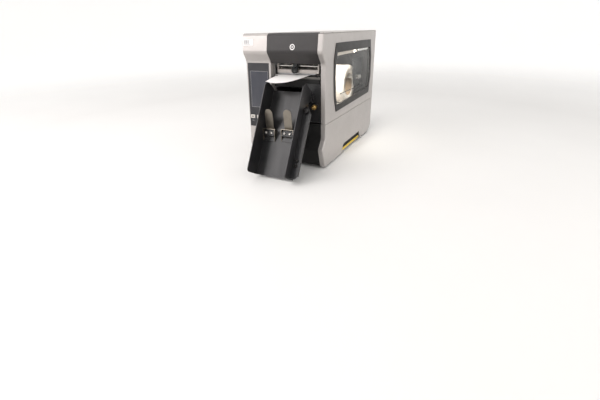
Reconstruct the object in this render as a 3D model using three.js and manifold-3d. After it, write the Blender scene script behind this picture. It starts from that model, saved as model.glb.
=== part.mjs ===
// Industrial thermal-transfer label printer with a hinged label chute on its front.
// Millimetres. +Z is up, -Y is the operator's side, +X is the media-door side.
// Shapes are laid out in the body frame (y 0 is the nominal front, z 0 the table), then the whole
// group is shifted so that the origin is the middle of its footprint.
import * as THREE from "three";
import { mergeVertices } from "three/addons/utils/BufferGeometryUtils.js";
import Module from "manifold-3d";

const wasm = await Module();
wasm.setup();

// ---- driving dimensions -----------------------------------------------------------------------
const WIDTH = 268;
const HEIGHT = 395;
const DEPTH = 500;
const SKIN = 3; // cover thickness
const GAP = 0.5; // seam between fixed covers
const SIDE = WIDTH / 2;
const COLUMN_X = -46; // right side of the control column
const FLANGE_X = 118; // inner edge of the door's front flange
const SPLIT_Z = 142; // seam between the door and the lower covers
const PAN_Z = 10; // underside of the base pan
const WALL_X = [-48, -44]; // centre wall: electronics to its left, media to its right

// Front outline, (y, z): a nose at the top, a straight waist, and a second nose at the foot.
const NOSE_TOP = [3, HEIGHT];
const NOSE_EDGE = [-5, HEIGHT - 6];
const NOSE_TIP = [-14, 345];
const WAIST_TOP = [11, 313];
const WAIST_LOW = [10, 95];
const FOOT_TIP = [-13, 67];
const FOOT_END = [5, 7];
const NOSE_EASE = 4; // how far from a corner of the outline its rounding starts
const WAIST_EASE = 7;

// Print line
const PLATEN = { y: 40, z: 270, r: 9.5, shaft: 4 };
const MEDIA_X = [-40, 74];
const WEB_T = 0.5;
// Plan of the printed label, (x, y), in front of the tear-off bar: it leaves skewed and hangs on its left.
const LABEL_EDGE = [
  [MEDIA_X[1] + 1, 28],
  [67.5, 1.2],
  [57.4, -15.8],
  [44.9, -27.7],
  [31.2, -37.2],
  [17.4, -42.2],
  [0, -45.6],
  [-17.4, -44.7],
  [-38.9, -39.5],
  [-24, 16],
  [MEDIA_X[0] - 1, 16],
];
const HEAD_PIVOT = { y: 104, z: 297 };
const LEVER_PIVOT = { y: 78, z: 312 };

// Rolls and spindles
const ROLL = { y: 374, z: 208, r: 70, core: 38.6 };
const SUPPLY = { y: 214, z: 322, r: 34 };
const TAKEUP = { y: 130, z: 342, r: 20 };
const SPINDLE_R = 11;
const DANCER = { y: 222, z: 118, bar: [190, 168], r: 6 };

// Drive behind the centre wall
const MOTOR = { y: 118, z: 196, size: 57, pulley: 9 };
const PLATEN_PULLEY_R = 20;
const BELT_X = [-112, -104];
const BELT_T = 1.6;

// Chute: a U channel that leans forward from under the label outlet
const CHUTE = { y: 1.5, z: 237, tilt: 30, left: -38, right: 90, length: 266, wall: 53, t: 2 };
const CHUTE_PIVOT = { out: -10, down: 16 }; // from the top of the chute's floor, behind it
const FINGER = { step: 18, width: 41, tongue: 26.5, foot: 34, leafOut: 7, rise: 52.5, lean: 38, t: 1.5 };
const FINGERS = { left: { x: -15, root: 125.5 }, right: { x: 47.5, root: 122.5 } };

// ---- materials --------------------------------------------------------------------------------
function paint(color, roughness, metalness = 0) {
  return new THREE.MeshStandardMaterial({ color, roughness, metalness });
}
const silver = paint(0xbdb6b2, 0.42, 0.35);
const blackPlastic = paint(0x2b2b2d, 0.55);
const blackPaint = paint(0x1c1d1f, 0.45);
const greyPanel = paint(0x45464b, 0.4);
const screenGlass = paint(0x3c3f48, 0.15);
const creamKey = paint(0xd9d2cc, 0.5);
const clearPane = paint(0xcfd2cf, 0.05);
const steel = paint(0xb9b6ae, 0.3, 0.9);
const brightBar = paint(0xcfc6bb, 0.35, 0.6);
const brass = paint(0xb18a45, 0.3, 0.95);
const rubber = paint(0x19191a, 0.85);
const paper = paint(0xf1ede6, 0.8);
const ribbonFilm = paint(0x141416, 0.35);
const aluminium = paint(0x9b9c9e, 0.45, 0.8);
const galvanised = paint(0x8d8f90, 0.5, 0.7);
const boardGreen = paint(0x1f5a37, 0.5);
const amberStrip = paint(0xd8b13f, 0.6);

// ---- geometry helpers -------------------------------------------------------------------------
const fromProfileYZ = new THREE.Matrix4().makeBasis(
  new THREE.Vector3(0, 1, 0),
  new THREE.Vector3(0, 0, 1),
  new THREE.Vector3(1, 0, 0),
);
const fromProfileXZ = new THREE.Matrix4().makeBasis(
  new THREE.Vector3(1, 0, 0),
  new THREE.Vector3(0, 0, 1),
  new THREE.Vector3(0, -1, 0),
);

function outline(points) {
  if (points instanceof THREE.Shape) return points;
  return new THREE.Shape(points.map(([a, b]) => new THREE.Vector2(a, b)));
}

function extrude(points, depth, curveSegments) {
  return new THREE.ExtrudeGeometry(outline(points), { depth, bevelEnabled: false, curveSegments });
}

// A (y, z) outline carried along X from x0 to x1.
function alongX(points, x0, x1, segments = 4) {
  return extrude(points, x1 - x0, segments).applyMatrix4(fromProfileYZ).translate(x0, 0, 0);
}

// An (x, z) outline carried along Y from y0 to y1.
function alongY(points, y0, y1, segments = 4) {
  return extrude(points, y1 - y0, segments).applyMatrix4(fromProfileXZ).translate(0, y1, 0);
}

// An (x, y) outline carried along Z from z0 to z1.
function alongZ(points, z0, z1, segments = 4) {
  return extrude(points, z1 - z0, segments).translate(0, 0, z0);
}

function block(x, y, z) {
  const made = new THREE.BoxGeometry(x[1] - x[0], y[1] - y[0], z[1] - z[0]);
  return made.translate((x[0] + x[1]) / 2, (y[0] + y[1]) / 2, (z[0] + z[1]) / 2);
}

function rodX(x0, x1, y, z, r, sides = 24) {
  const rod = new THREE.CylinderGeometry(r, r, x1 - x0, sides);
  return rod.rotateZ(-Math.PI / 2).translate((x0 + x1) / 2, y, z);
}

function rodY(y0, y1, x, z, r, sides = 24) {
  return new THREE.CylinderGeometry(r, r, y1 - y0, sides).translate(x, (y0 + y1) / 2, z);
}

function rodZ(z0, z1, x, y, r, sides = 24) {
  const rod = new THREE.CylinderGeometry(r, r, z1 - z0, sides);
  return rod.rotateX(Math.PI / 2).translate(x, y, (z0 + z1) / 2);
}

// A ring about an X axis, from inner to outer radius.
function ringX(x0, x1, y, z, inner, outer, sides = 40) {
  const profile = [
    [inner, x0],
    [outer, x0],
    [outer, x1],
    [inner, x1],
    [inner, x0],
  ].map(([r, x]) => new THREE.Vector2(r, x));
  return new THREE.LatheGeometry(profile, sides).rotateZ(-Math.PI / 2).translate(0, y, z);
}

function solid(geometry) {
  const bare = geometry.clone();
  bare.deleteAttribute("normal");
  bare.deleteAttribute("uv");
  const merged = mergeVertices(bare, 1e-3);
  return new wasm.Manifold(
    new wasm.Mesh({
      numProp: 3,
      vertProperties: merged.attributes.position.array,
      triVerts: new Uint32Array(merged.index.array),
    }),
  );
}

function geometryOf(made) {
  const mesh = made.getMesh();
  const geometry = new THREE.BufferGeometry();
  geometry.setAttribute("position", new THREE.BufferAttribute(new Float32Array(mesh.vertProperties), 3));
  geometry.setIndex(new THREE.BufferAttribute(new Uint32Array(mesh.triVerts), 1));
  return geometry;
}

function cut(body, ...tools) {
  return geometryOf(tools.reduce((left, tool) => left.subtract(solid(tool)), solid(body)));
}

function join(...bodies) {
  return geometryOf(bodies.map(solid).reduce((sum, next) => sum.add(next)));
}

function overlap(first, second) {
  return geometryOf(solid(first).intersect(solid(second)));
}

// Eases the corners of an open line: each corner with a reach becomes a curve that starts so far before it.
function eased(points, reaches) {
  return points.flatMap((corner, i) => {
    const reach = reaches[i];
    if (!reach) return [corner];
    const [start, end] = [points[i - 1], points[i + 1]].map((next) => {
      const share = reach / Math.hypot(next[0] - corner[0], next[1] - corner[1]);
      return corner.map((value, axis) => value + (next[axis] - value) * share);
    });
    return [0, 0.25, 0.5, 0.75, 1].map((t) =>
      corner.map((value, axis) => (1 - t) ** 2 * start[axis] + 2 * t * (1 - t) * value + t * t * end[axis]),
    );
  });
}

// A thin wall of thickness t along an open (y, z) or (x, z) line, to the left of its direction.
function wallAlong(points, t) {
  const inner = points.map((point, i) => {
    const before = points[Math.max(i - 1, 0)];
    const after = points[Math.min(i + 1, points.length - 1)];
    const here = leftNormal(i ? before : point, i ? point : after);
    const next = leftNormal(i < points.length - 1 ? point : before, i < points.length - 1 ? after : point);
    const share = t / (1 + here[0] * next[0] + here[1] * next[1]);
    return [point[0] + (here[0] + next[0]) * share, point[1] + (here[1] + next[1]) * share];
  });
  return [...points, ...inner.reverse()];
}

function leftNormal([a, b], [c, d]) {
  const length = Math.hypot(c - a, d - b);
  return [-(d - b) / length, (c - a) / length];
}

// ---- the assembly -----------------------------------------------------------------------------
const printer = new THREE.Group();
const chuteGroup = new THREE.Group();

function part(name, geometry, material, parent = printer) {
  const mesh = new THREE.Mesh(geometry, material);
  mesh.name = name;
  parent.add(mesh);
  return mesh;
}

// ---- chassis ----------------------------------------------------------------------------------
function basePan() {
  const half = SIDE - SKIN - 3;
  const lip = 32;
  const section = [
    [-half, PAN_Z + lip],
    [-half, PAN_Z],
    [half, PAN_Z],
    [half, PAN_Z + lip],
  ];
  return alongY(wallAlong(section, 3), COLUMN_REAR + GAP, DEPTH - 14);
}

function centreWall() {
  const plate = block(WALL_X, [30, DEPTH - 14], [PAN_Z + 3.2, HEIGHT - SKIN - 2]);
  const holes = [PLATEN, SUPPLY, TAKEUP].map(({ y, z }) => rodX(WALL_X[0] - 1, WALL_X[1] + 1, y, z, 6, 16));
  return cut(plate, ...holes);
}

const INLET = { x: [-112, -82], z: [44, 70] };
const SWITCH = { x: [-74, -56], z: [44, 70] };
const PORTS = { x: [-112, -60], z: [100, 150] };
const REAR_Y = [DEPTH - 13, DEPTH - 10];

function rearPanel() {
  const plate = alongY(
    [
      [-SIDE + SKIN + 0.5, PAN_Z + 3.2],
      [SIDE - SKIN - 3, PAN_Z + 3.2],
      [SIDE - SKIN - 3, HEIGHT - SKIN - 0.5],
      [-SIDE + 10, HEIGHT - SKIN - 0.5],
      [-SIDE + SKIN + 0.5, HEIGHT - 10],
    ],
    ...REAR_Y,
  );
  const cutter = ({ x, z }) => block(x, [REAR_Y[0] - 1, REAR_Y[1] + 1], z);
  const mediaSlot = block([MEDIA_X[0], MEDIA_X[1] + 10], [REAR_Y[0] - 1, REAR_Y[1] + 1], [74, 84]);
  return cut(plate, cutter(INLET), cutter(SWITCH), cutter(PORTS), mediaSlot);
}

// Cut-away of a cover's lower rear corner, where the foot shows.
function rearCornerCut(x0, x1) {
  const r = 34;
  const corner = new THREE.Shape();
  corner.moveTo(DEPTH + 1, 0);
  corner.lineTo(DEPTH + 1, 7 + r);
  corner.lineTo(DEPTH, 7 + r);
  corner.quadraticCurveTo(DEPTH - 3, 12, DEPTH - r - 16, 7);
  corner.lineTo(DEPTH - r - 16, 0);
  return alongX(corner, x0, x1, 6);
}

function leftCover() {
  const r = 9;
  const section = new THREE.Shape();
  section.moveTo(-SIDE, 7);
  section.lineTo(-SIDE + SKIN, 7);
  section.lineTo(-SIDE + SKIN, HEIGHT - r);
  section.quadraticCurveTo(-SIDE + SKIN, HEIGHT - SKIN, -SIDE + r, HEIGHT - SKIN);
  section.lineTo(-47, HEIGHT - SKIN);
  section.lineTo(-47, HEIGHT);
  section.lineTo(-SIDE + r, HEIGHT);
  section.quadraticCurveTo(-SIDE, HEIGHT, -SIDE, HEIGHT - r);
  section.closePath();
  const shell = alongY(section, 30 + GAP, DEPTH, 4);
  const vents = [...Array(9)].map((_, i) =>
    block([-SIDE - 1, -SIDE + SKIN + 1], [330 + i * 14, 336 + i * 14], [70, 150]),
  );
  return cut(shell, rearCornerCut(-SIDE - 1, -SIDE + SKIN + 1), ...vents);
}

// ---- control column ---------------------------------------------------------------------------
const COLUMN_REAR = 30;
const PANEL_TOP = [7, 316]; // top of the sloping control face, (y, z)
const PANEL_LOW = [-8, 90];
const BEZEL_Z = [119, 313];
const BEZEL_X = [-130, -53];
const SCREEN = { x: [-121, -57], z: [181, 290] };
const KEY = { x: [-119, -95, -71], z: 150, width: 16, height: 11, travel: 1.2 };

function faceY(z) {
  return PANEL_LOW[0] + ((z - PANEL_LOW[1]) * (PANEL_TOP[0] - PANEL_LOW[0])) / (PANEL_TOP[1] - PANEL_LOW[1]);
}

function widened([low, high], margin) {
  return [low - margin, high + margin];
}

// A slab that lies parallel to the control face, between two heights and two depths behind it.
function slopingSlab(x, [low, high], [front, back]) {
  return alongX(
    [
      [faceY(low) + front, low],
      [faceY(high) + front, high],
      [faceY(high) + back, high],
      [faceY(low) + back, low],
    ].reverse(),
    x[0],
    x[1],
  );
}

function columnOutline(inset) {
  return [
    [COLUMN_REAR, HEIGHT - inset],
    [NOSE_TOP[0] + 3, HEIGHT - inset],
    [NOSE_EDGE[0] + 3 + inset, NOSE_EDGE[1] - inset],
    [NOSE_TIP[0] + 3 + inset, NOSE_TIP[1] - 2],
    [PANEL_TOP[0] + inset, PANEL_TOP[1] + 2 - inset],
    [PANEL_LOW[0] + inset, PANEL_LOW[1]],
    [FOOT_TIP[0] + inset, FOOT_TIP[1] - inset],
    [FOOT_END[0] + inset, FOOT_END[1] + inset],
    [COLUMN_REAR, FOOT_END[1] + inset],
  ];
}

function frontColumn() {
  const reaches = [0, NOSE_EASE, NOSE_EASE, WAIST_EASE, WAIST_EASE, 0, WAIST_EASE, NOSE_EASE, 0];
  const shell = alongX(eased(columnOutline(0), reaches), -SIDE, COLUMN_X);
  const inside = columnOutline(SKIN);
  inside[0][0] = COLUMN_REAR + 1;
  inside[8][0] = COLUMN_REAR + 1;
  const cavity = alongX(inside, -SIDE + SKIN, COLUMN_X - SKIN);
  const bezelHole = slopingSlab(widened(BEZEL_X, 0.3), widened(BEZEL_Z, 0.3), [-6, 8]);
  const usbHole = slopingSlab([-103, -73], [60, 96], [-12, 12]);
  const corner = alongZ(
    [
      [-SIDE - 1, -20],
      [-SIDE + 5, -20],
      [-SIDE - 1, 12],
    ],
    -1,
    HEIGHT + 1,
  );
  return cut(shell, cavity, bezelHole, usbHole, corner);
}

function controlBezel() {
  const slab = slopingSlab(BEZEL_X, BEZEL_Z, [-0.6, 4]);
  const screenSeat = slopingSlab(widened(SCREEN.x, 0.3), widened(SCREEN.z, 0.3), [-2, 2]);
  const keyHoles = KEY.x.map((x) => keySlab(x, 0.5, [-3, 6]));
  return cut(slab, screenSeat, ...keyHoles);
}

function keySlab(x, margin, depth) {
  const half = KEY.width / 2 + margin;
  const tall = KEY.height / 2 + margin;
  return slopingSlab([x - half, x + half], [KEY.z - tall, KEY.z + tall], depth);
}

// ---- front covers -----------------------------------------------------------------------------
function frontLid() {
  const line = [
    [60, HEIGHT],
    NOSE_TOP,
    NOSE_EDGE,
    NOSE_TIP,
    WAIST_TOP,
    [WAIST_TOP[0] + 6, WAIST_TOP[1] + 1],
  ];
  const soft = eased(line, [0, NOSE_EASE, NOSE_EASE, WAIST_EASE, 0, 0]);
  return alongX(wallAlong(soft, SKIN), COLUMN_X + GAP, FLANGE_X - GAP);
}

function lowerFrontCover() {
  const line = [
    [26, SPLIT_Z - 1],
    [WAIST_LOW[0] + 1, SPLIT_Z - 1],
    WAIST_LOW,
    FOOT_TIP,
    FOOT_END,
    [26, FOOT_END[1]],
  ];
  const soft = eased(line, [0, 0, WAIST_EASE, WAIST_EASE, NOSE_EASE, 0]);
  return alongX(wallAlong(soft, SKIN), COLUMN_X + GAP, FLANGE_X - GAP);
}

// The dark liner of the outlet recess: left cheek, floor and back.
function outletSurround() {
  const left = COLUMN_X + 3;
  const backLine = [
    [26.5, SPLIT_Z + 1],
    [108, SPLIT_Z + 1],
    [108, 240],
    [105, 240],
    [105, SPLIT_Z + 4],
    [26.5, SPLIT_Z + 4],
  ];
  const cheek = block([left, left + 3], [30, 106], [SPLIT_Z + 2, 240]);
  return join(alongX(backLine, left, FLANGE_X - 6), cheek);
}

function lowerSidePanel() {
  const front = eased(
    [[WAIST_LOW[0] + 1, SPLIT_Z - 1], WAIST_LOW, FOOT_TIP, FOOT_END],
    [0, WAIST_EASE, WAIST_EASE, 0],
  );
  const line = [[DEPTH, SPLIT_Z - 1], ...front, [DEPTH, FOOT_END[1]]];
  const plate = alongX(line, SIDE - SKIN, SIDE);
  const flange = alongX(wallAlong(front, SKIN), FLANGE_X, SIDE - 1);
  const grip = alongX(
    [
      [158, 0],
      [166, 30],
      [176, 36],
      [345, 36],
      [366, 0],
    ],
    SIDE - SKIN - 1,
    SIDE + 1,
  );
  return cut(join(plate, flange), grip, rearCornerCut(SIDE - SKIN - 1, SIDE + 1));
}

function gripStrip() {
  return block([SIDE - SKIN - 2.6, SIDE - SKIN - 0.6], [170, 352], [PAN_Z, PAN_Z + 8]);
}

// ---- media door -------------------------------------------------------------------------------
const DOOR_HINGE = { x: -44.3, z: HEIGHT - 1.5 };
const FOLD = { x: SIDE - 1.5, z: HEIGHT - 1.5 };
const WINDOW = [
  [84, 366],
  [432, 364],
  [450, 308],
  [455, 235],
  [439, 172],
  [90, 165],
  [73, 211],
  [69, 264],
  [69, 320],
];

function scaledWindow(margin) {
  const centre = [262, 264];
  return WINDOW.map(([y, z]) => [
    y + Math.sign(y - centre[0]) * margin,
    z + Math.sign(z - centre[1]) * margin * (Math.abs(z - centre[1]) > 80 ? 1 : 0),
  ]).reverse();
}

function doorTop() {
  const right = FOLD.x - 1.6;
  const plate = block([-42, right], [60.5, DEPTH], [HEIGHT - SKIN, HEIGHT]);
  const frontStrip = block([FLANGE_X, right], [NOSE_TOP[0], 61], [HEIGHT - SKIN, HEIGHT]);
  const sideLip = block([right - 6, right - 3], [60.5, REAR_Y[0] - 1], [HEIGHT - 12, HEIGHT - 1]);
  return join(plate, frontStrip, sideLip);
}

function doorSide() {
  const top = HEIGHT - SKIN - 0.1;
  const front = eased(
    [[NOSE_EDGE[0], top], NOSE_TIP, WAIST_TOP, [WAIST_LOW[0] + 1, SPLIT_Z]],
    [0, WAIST_EASE, WAIST_EASE, 0],
  );
  const plate = alongX([[DEPTH, top], ...front, [DEPTH, SPLIT_Z]], SIDE - SKIN, SIDE);
  const flange = alongX(wallAlong(front, SKIN), FLANGE_X, SIDE - 1);
  const opening = alongX(scaledWindow(-3), SIDE - SKIN - 1, SIDE + 1);
  return cut(join(plate, flange), opening);
}

function windowFrame() {
  const rim = alongX(scaledWindow(0), SIDE + 0.1, SIDE + 2);
  const plug = alongX(scaledWindow(-3.6), SIDE - SKIN - 1.4, SIDE + 1);
  const glassHole = alongX(windowGlass(0), SIDE - SKIN - 3, SIDE + 3);
  return cut(join(rim, plug), glassHole);
}

function windowGlass(margin) {
  return [
    [95 - margin, 340 + margin],
    [424 + margin, 338 + margin],
    [438 + margin, 300],
    [442 + margin, 240],
    [428 + margin, 195 - margin],
    [98 - margin, 184 - margin],
    [86 - margin, 215],
    [83 - margin, 264],
    [84 - margin, 312],
  ].reverse();
}

// ---- media path -------------------------------------------------------------------------------
const GUIDE_X = 104;

function mediaHanger() {
  const top = 37.4;
  const bar = [-50, -30, -10, 10, 30, 50].map((degrees) => {
    const angle = THREE.MathUtils.degToRad(90 - degrees * 0.44);
    return [ROLL.y + top * Math.cos(angle), ROLL.z + top * Math.sin(angle)];
  });
  const section = [[ROLL.y - 14, ROLL.z + 24], ...bar, [ROLL.y + 14, ROLL.z + 24]];
  const flangeX = [WALL_X[1] + 0.1, WALL_X[1] + 3.6];
  const flange = block(flangeX, [ROLL.y - 30, ROLL.y + 30], [ROLL.z - 4, ROLL.z + 37]);
  return join(alongX(section.reverse(), WALL_X[1] + 2, 118), flange);
}

function mediaGuide() {
  const [wide, narrow] = [57, 42];
  const [top, bend, low] = [ROLL.z + 95, ROLL.z + 18, ROLL.z - 4];
  const flap = new THREE.Shape();
  flap.moveTo(ROLL.y - wide, top);
  flap.lineTo(ROLL.y - narrow, bend);
  flap.quadraticCurveTo(ROLL.y - narrow + 6, low, ROLL.y, low);
  flap.quadraticCurveTo(ROLL.y + narrow - 6, low, ROLL.y + narrow, bend);
  flap.lineTo(ROLL.y + wide, top);
  flap.closePath();
  const plate = alongX(flap, GUIDE_X, GUIDE_X + 4, 6);
  const seatY = [ROLL.y - 14.8, ROLL.y + 14.8];
  const seat = block([GUIDE_X - 1, GUIDE_X + 5], seatY, [ROLL.z + 23.2, ROLL.z + 38.4]);
  return cut(plate, seat);
}

// The paper's path: off the roll, under the dancer, over the platen and out past the tear bar.
const WEB_PATH = [
  [ROLL.y, ROLL.z - ROLL.r - 0.7],
  [290, ROLL.z - ROLL.r + 7],
  [DANCER.bar[0] + 6, DANCER.bar[1] - DANCER.r - 1.2],
  [DANCER.bar[0] - 8, DANCER.bar[1] - DANCER.r + 4],
  [124, 262],
  [108, 278],
  [88, PLATEN.z + PLATEN.r + 0.6],
  [PLATEN.y, PLATEN.z + PLATEN.r + 0.6],
  [22, PLATEN.z + PLATEN.r + 0.5],
  [-8, 276],
  [-40, 267],
  [-50, 263.5],
];

function labelWeb() {
  const curve = new THREE.CatmullRomCurve3(
    WEB_PATH.map(([y, z]) => new THREE.Vector3(y, z, 0)),
    false,
    "centripetal",
  );
  const line = curve.getPoints(38).map((p) => [p.x, p.y]);
  const strip = alongX(wallAlong(line, WEB_T).reverse(), ...MEDIA_X);
  const [right, left] = [LABEL_EDGE[0][0], LABEL_EDGE.at(-1)[0]];
  const plan = [...LABEL_EDGE, [left, DEPTH], [right, DEPTH]].reverse();
  return overlap(strip, alongZ(plan, 0, HEIGHT));
}

function dancerArm() {
  const arm = (x) =>
    alongX(
      [
        [DANCER.y - 7, DANCER.z],
        [DANCER.y + 7, DANCER.z],
        [DANCER.bar[0] + 7, DANCER.bar[1] + 5],
        [DANCER.bar[0] - 7, DANCER.bar[1] + 5],
      ],
      x,
      x + 3,
    );
  const bar = rodX(-42, 76, DANCER.bar[0], DANCER.bar[1] + 2, DANCER.r, 16);
  const pivot = rodX(-43.7, -36, DANCER.y, DANCER.z, 9, 16);
  return join(arm(-43.6), bar, pivot);
}

// ---- print mechanism --------------------------------------------------------------------------
function mechFrame() {
  const bed = block([WALL_X[1] + 0.1, 108], [27, 112], [247, 258]);
  const cheek = alongX(
    [
      [27, 247],
      [112, 247],
      [112, 300],
      [98, 306],
      [27, 290],
    ],
    107,
    111.5,
  );
  const shaftHole = rodX(106, 113, PLATEN.y, PLATEN.z, PLATEN.shaft + 0.5, 16);
  const pivotHole = rodX(106, 113, HEAD_PIVOT.y, HEAD_PIVOT.z, 3.4, 16);
  return cut(join(bed, cheek), shaftHole, pivotHole);
}

function tearBar() {
  return alongX(
    [
      [20, 276.5],
      [26.6, 276.5],
      [26.6, 247],
      [24, 247],
      [24, 268],
      [20, 270],
    ].reverse(),
    -40,
    111.5,
  );
}

function platenShaft() {
  const shaft = rodX(BELT_X[0], 112.2, PLATEN.y, PLATEN.z, PLATEN.shaft, 16);
  const pulley = rodX(BELT_X[0], BELT_X[1], PLATEN.y, PLATEN.z, PLATEN_PULLEY_R, 32);
  return join(shaft, pulley);
}

function platenRoller() {
  return ringX(-41, 105, PLATEN.y, PLATEN.z, PLATEN.shaft + 0.05, PLATEN.r, 32);
}

function headBracket() {
  const cover = alongX(
    [
      [28, 285.2],
      [62, 286],
      [96, 289],
      [111, 291],
      [111, 303],
      [96, 303],
      [50, 298],
      [28, 295],
    ],
    -36,
    104,
  );
  const ear = (x) => block([x, x + 4], [29, 42], [286, 311]);
  const pivot = rodX(-43.7, 110.5, HEAD_PIVOT.y, HEAD_PIVOT.z, 3, 16);
  return join(cover, ear(-36), ear(100), pivot);
}

function thermalHead() {
  return block([-36, 92], [30, 64], [281.2, 285]);
}

function pressureBar() {
  return rodX(-31.6, 99.6, 35, 305.5, 3.2, 16);
}

const TOGGLE_X = 28;

function pressureToggle() {
  const saddle = cut(
    block([TOGGLE_X - 7, TOGGLE_X + 7], [23, 41], [299.3, 312]),
    rodX(TOGGLE_X - 8, TOGGLE_X + 8, 35, 305.5, 3.7, 16),
  );
  return join(saddle, rodY(18, 27, TOGGLE_X, 294, 9, 24));
}

function headLever() {
  const reach = [LEVER_PIVOT.y - 42, LEVER_PIVOT.z - 46];
  const arm = alongX(
    wallAlong(
      [
        [LEVER_PIVOT.y + 3, LEVER_PIVOT.z - 5],
        [reach[0] + 4, reach[1] - 4],
      ],
      -10,
    ).reverse(),
    112.6,
    116.6,
  );
  const hub = rodX(112.6, 116.6, LEVER_PIVOT.y, LEVER_PIVOT.z, 9, 24);
  return join(arm, hub);
}

// ---- ribbon -----------------------------------------------------------------------------------
function spindle({ y, z }) {
  const barrel = rodX(WALL_X[1] + 0.5, 88, y, z, SPINDLE_R, 24);
  const shaft = rodX(-70, WALL_X[1] + 1, y, z, 4, 16);
  const vane = block([-30, 84], [y - 1.5, y + 1.5], [z - SPINDLE_R - 1, z + SPINDLE_R + 1]);
  return join(barrel, shaft, vane);
}

// ---- drive and electronics --------------------------------------------------------------------
function stepperMotor() {
  const [y, z] = [MOTOR.y, MOTOR.z].map((middle) => widened([middle, middle], MOTOR.size / 2));
  const can = block([-98, WALL_X[0] - 0.2], y, z);
  return cut(can, rodX(-99, -92, MOTOR.y, MOTOR.z, 5, 16));
}

function motorPulley() {
  return join(
    rodX(BELT_X[0], BELT_X[1], MOTOR.y, MOTOR.z, MOTOR.pulley, 24),
    rodX(BELT_X[1] - 1, -93, MOTOR.y, MOTOR.z, 3, 16),
  );
}

// Drive belt: two circles joined by their outer tangents, grown by the belt's thickness.
function driveBelt() {
  const band = (grow) => {
    const dy = MOTOR.y - PLATEN.y;
    const dz = MOTOR.z - PLATEN.z;
    const apart = Math.hypot(dy, dz);
    const heading = Math.atan2(dz, dy);
    const lean = Math.acos((PLATEN_PULLEY_R - MOTOR.pulley) / apart);
    const arc = (centre, r, from, to, steps) =>
      [...Array(steps + 1)].map((_, i) => {
        const a = from + ((to - from) * i) / steps;
        return [centre.y + r * Math.cos(a), centre.z + r * Math.sin(a)];
      });
    return [
      ...arc(MOTOR, MOTOR.pulley + grow, heading - lean, heading + lean, 10),
      ...arc(PLATEN, PLATEN_PULLEY_R + grow, heading + lean, heading + 2 * Math.PI - lean, 18),
    ];
  };
  const outer = alongX(band(0.3 + BELT_T), BELT_X[0] + 0.5, BELT_X[1] - 0.5);
  return cut(outer, alongX(band(0.3), BELT_X[0], BELT_X[1]));
}

function powerSupply() {
  const box = block([-120, -60], [300, 440], [20, 74]);
  const slots = [...Array(5)].map((_, i) => block([-121, -116], [320 + i * 22, 332 + i * 22], [34, 60]));
  return cut(box, ...slots);
}

function logicBoard() {
  const board = block([-124, -122], [170, 420], [170, 310]);
  const chips = [
    block([-122.5, -118], [200, 236], [200, 236]),
    block([-122.5, -119], [260, 290], [214, 244]),
    block([-122.5, -112], [330, 400], [186, 204]),
    block([-122.5, -115], [200, 250], [268, 292]),
    block([-122.5, -113], [300, 316], [260, 276]),
  ];
  return join(board, ...chips);
}

function powerInlet() {
  const body = block(widened(INLET.x, -0.5), [REAR_Y[0] - 22, REAR_Y[1] + 1], widened(INLET.z, -0.5));
  const rim = block(widened(INLET.x, 3), [REAR_Y[1] + 0.1, REAR_Y[1] + 2.5], widened(INLET.z, 3));
  const socket = block(widened(INLET.x, -4), [REAR_Y[1] - 14, REAR_Y[1] + 4], widened(INLET.z, -5));
  const pins = [-6, 0, 6].map((dx, i) => {
    const x = (INLET.x[0] + INLET.x[1]) / 2 + dx;
    const z = 57 + (i === 1 ? 3 : -2);
    return block([x - 1, x + 1], [REAR_Y[1] - 15, REAR_Y[1] - 2], [z - 2, z + 2]);
  });
  return join(cut(join(body, rim), socket), ...pins);
}

function rockerSwitch() {
  const z = (SWITCH.z[0] + SWITCH.z[1]) / 2;
  const face = [
    [REAR_Y[0], z - 11.5],
    [REAR_Y[1] + 1, z - 11.5],
    [REAR_Y[1] + 1.8, z],
    [REAR_Y[1] + 4.5, z + 11],
    [REAR_Y[0], z + 11.5],
    [REAR_Y[0] - 6, z],
  ];
  return alongX(face, SWITCH.x[0] + 1.5, SWITCH.x[1] - 1.5);
}

function portBlock() {
  const [x0, x1] = PORTS.x;
  const body = block(widened([x0, x1], -0.5), [REAR_Y[0] - 10, REAR_Y[1] + 1], widened(PORTS.z, -0.5));
  const front = [REAR_Y[1] - 8, REAR_Y[1] + 2];
  const serial = block([x0 + 6, x0 + 34], front, [PORTS.z[0] + 6, PORTS.z[0] + 15]);
  const network = block([x0 + 6, x0 + 21], front, [PORTS.z[0] + 28, PORTS.z[0] + 41]);
  const usb = block([x0 + 30, x0 + 42], front, [PORTS.z[0] + 29, PORTS.z[0] + 40]);
  return cut(body, serial, network, usb);
}

function usbPanel() {
  const slab = slopingSlab([-102.6, -73.4], [60.6, 95.4], [2.4, 6]);
  const slots = [70, 84].map((z) => slopingSlab([-96, -80], [z - 2.5, z + 2.5], [0, 5]));
  return cut(slab, ...slots);
}

// ---- label chute ------------------------------------------------------------------------------
// Inside chuteGroup: y 0 is the face that labels slide on, -y is outward, z 0 is its top and -z runs down it.
function chuteTray() {
  const { left, right, length, wall, t } = CHUTE;
  const side = new THREE.Shape();
  side.moveTo(-CHUTE_PIVOT.out + 7, -CHUTE_PIVOT.down + 7);
  side.lineTo(t, -2);
  side.lineTo(-6, 4);
  side.lineTo(-wall + 14, 10);
  side.lineTo(-wall, -4);
  side.lineTo(-wall, -length + 12);
  side.quadraticCurveTo(-wall, -length, -wall + 12, -length);
  side.lineTo(t, -length);
  side.lineTo(t, -CHUTE_PIVOT.down - 16);
  side.lineTo(-CHUTE_PIVOT.out + 7, -CHUTE_PIVOT.down - 7);
  side.closePath();
  const floor = block([left, right], [0, t], [-length, -2]);
  const channel = join(floor, alongX(side, left, left + t, 5), alongX(side, right - t, right, 5));
  return cut(channel, rodX(left - 1, right + 1, -CHUTE_PIVOT.out, -CHUTE_PIVOT.down, 3.4, 16));
}

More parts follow.
